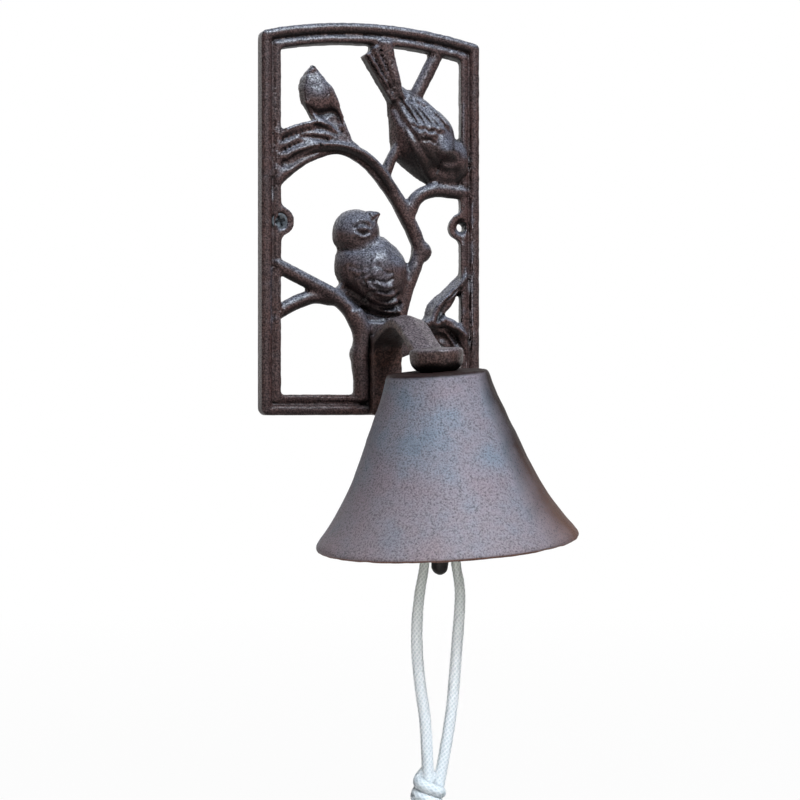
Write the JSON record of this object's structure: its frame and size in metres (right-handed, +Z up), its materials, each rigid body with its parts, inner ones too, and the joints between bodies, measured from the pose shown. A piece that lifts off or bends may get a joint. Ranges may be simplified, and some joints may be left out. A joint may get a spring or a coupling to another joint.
{
  "type": "wall bell",
  "caption": "Cast-iron wall bell: arched openwork plate with birds on branches, a hooked arm that carries a flared bell, and a clapper rung by a knotted pull cord.",
  "frame": {"origin": "on the wall plane, midway between the plate's two screw holes", "axes": "+Z up, +X to the right seen from the front, +Y into the wall"},
  "size_m": [0.1176, 0.1433, 0.3568],
  "materials": {
    "plate_iron": "sand-cast, rust-brown with a cool grey sheen",
    "arm_iron": "sand-cast, rust-brown",
    "bell_iron": "sand-cast, blue-grey with rust at the edge",
    "clapper_iron": "sand-cast, dark",
    "steel": "plain, dulled",
    "cord_cotton": "white braid"
  },
  "bodies": {
    "bracket": {"wall_plate": "plate_iron", "bell_arm": "arm_iron", "arm_screws": "steel", "bell": "bell_iron", "eye_bolt": "steel", "crown_washer": "steel", "crown_nut": "steel", "wall_screw": "steel"},
    "link": {"clapper_link": "steel"},
    "clapper": {"clapper": "clapper_iron", "cord_left": "cord_cotton", "cord_right": "cord_cotton", "cord_knot": "cord_cotton"}
  },
  "joints": [
    {"name": "link_swing", "type": "hinge", "parent": "bracket", "child": "link", "pos_m": [0.0063, -0.07235, -0.08909], "axis": [1, 0, 0], "range_deg": [-35, 40]},
    {"name": "clapper_swing", "type": "hinge", "parent": "link", "child": "clapper", "pos_m": [0.0063, -0.07235, -0.09879], "axis": [0, 1, 0], "range_deg": [-14, 8]}
  ]
}
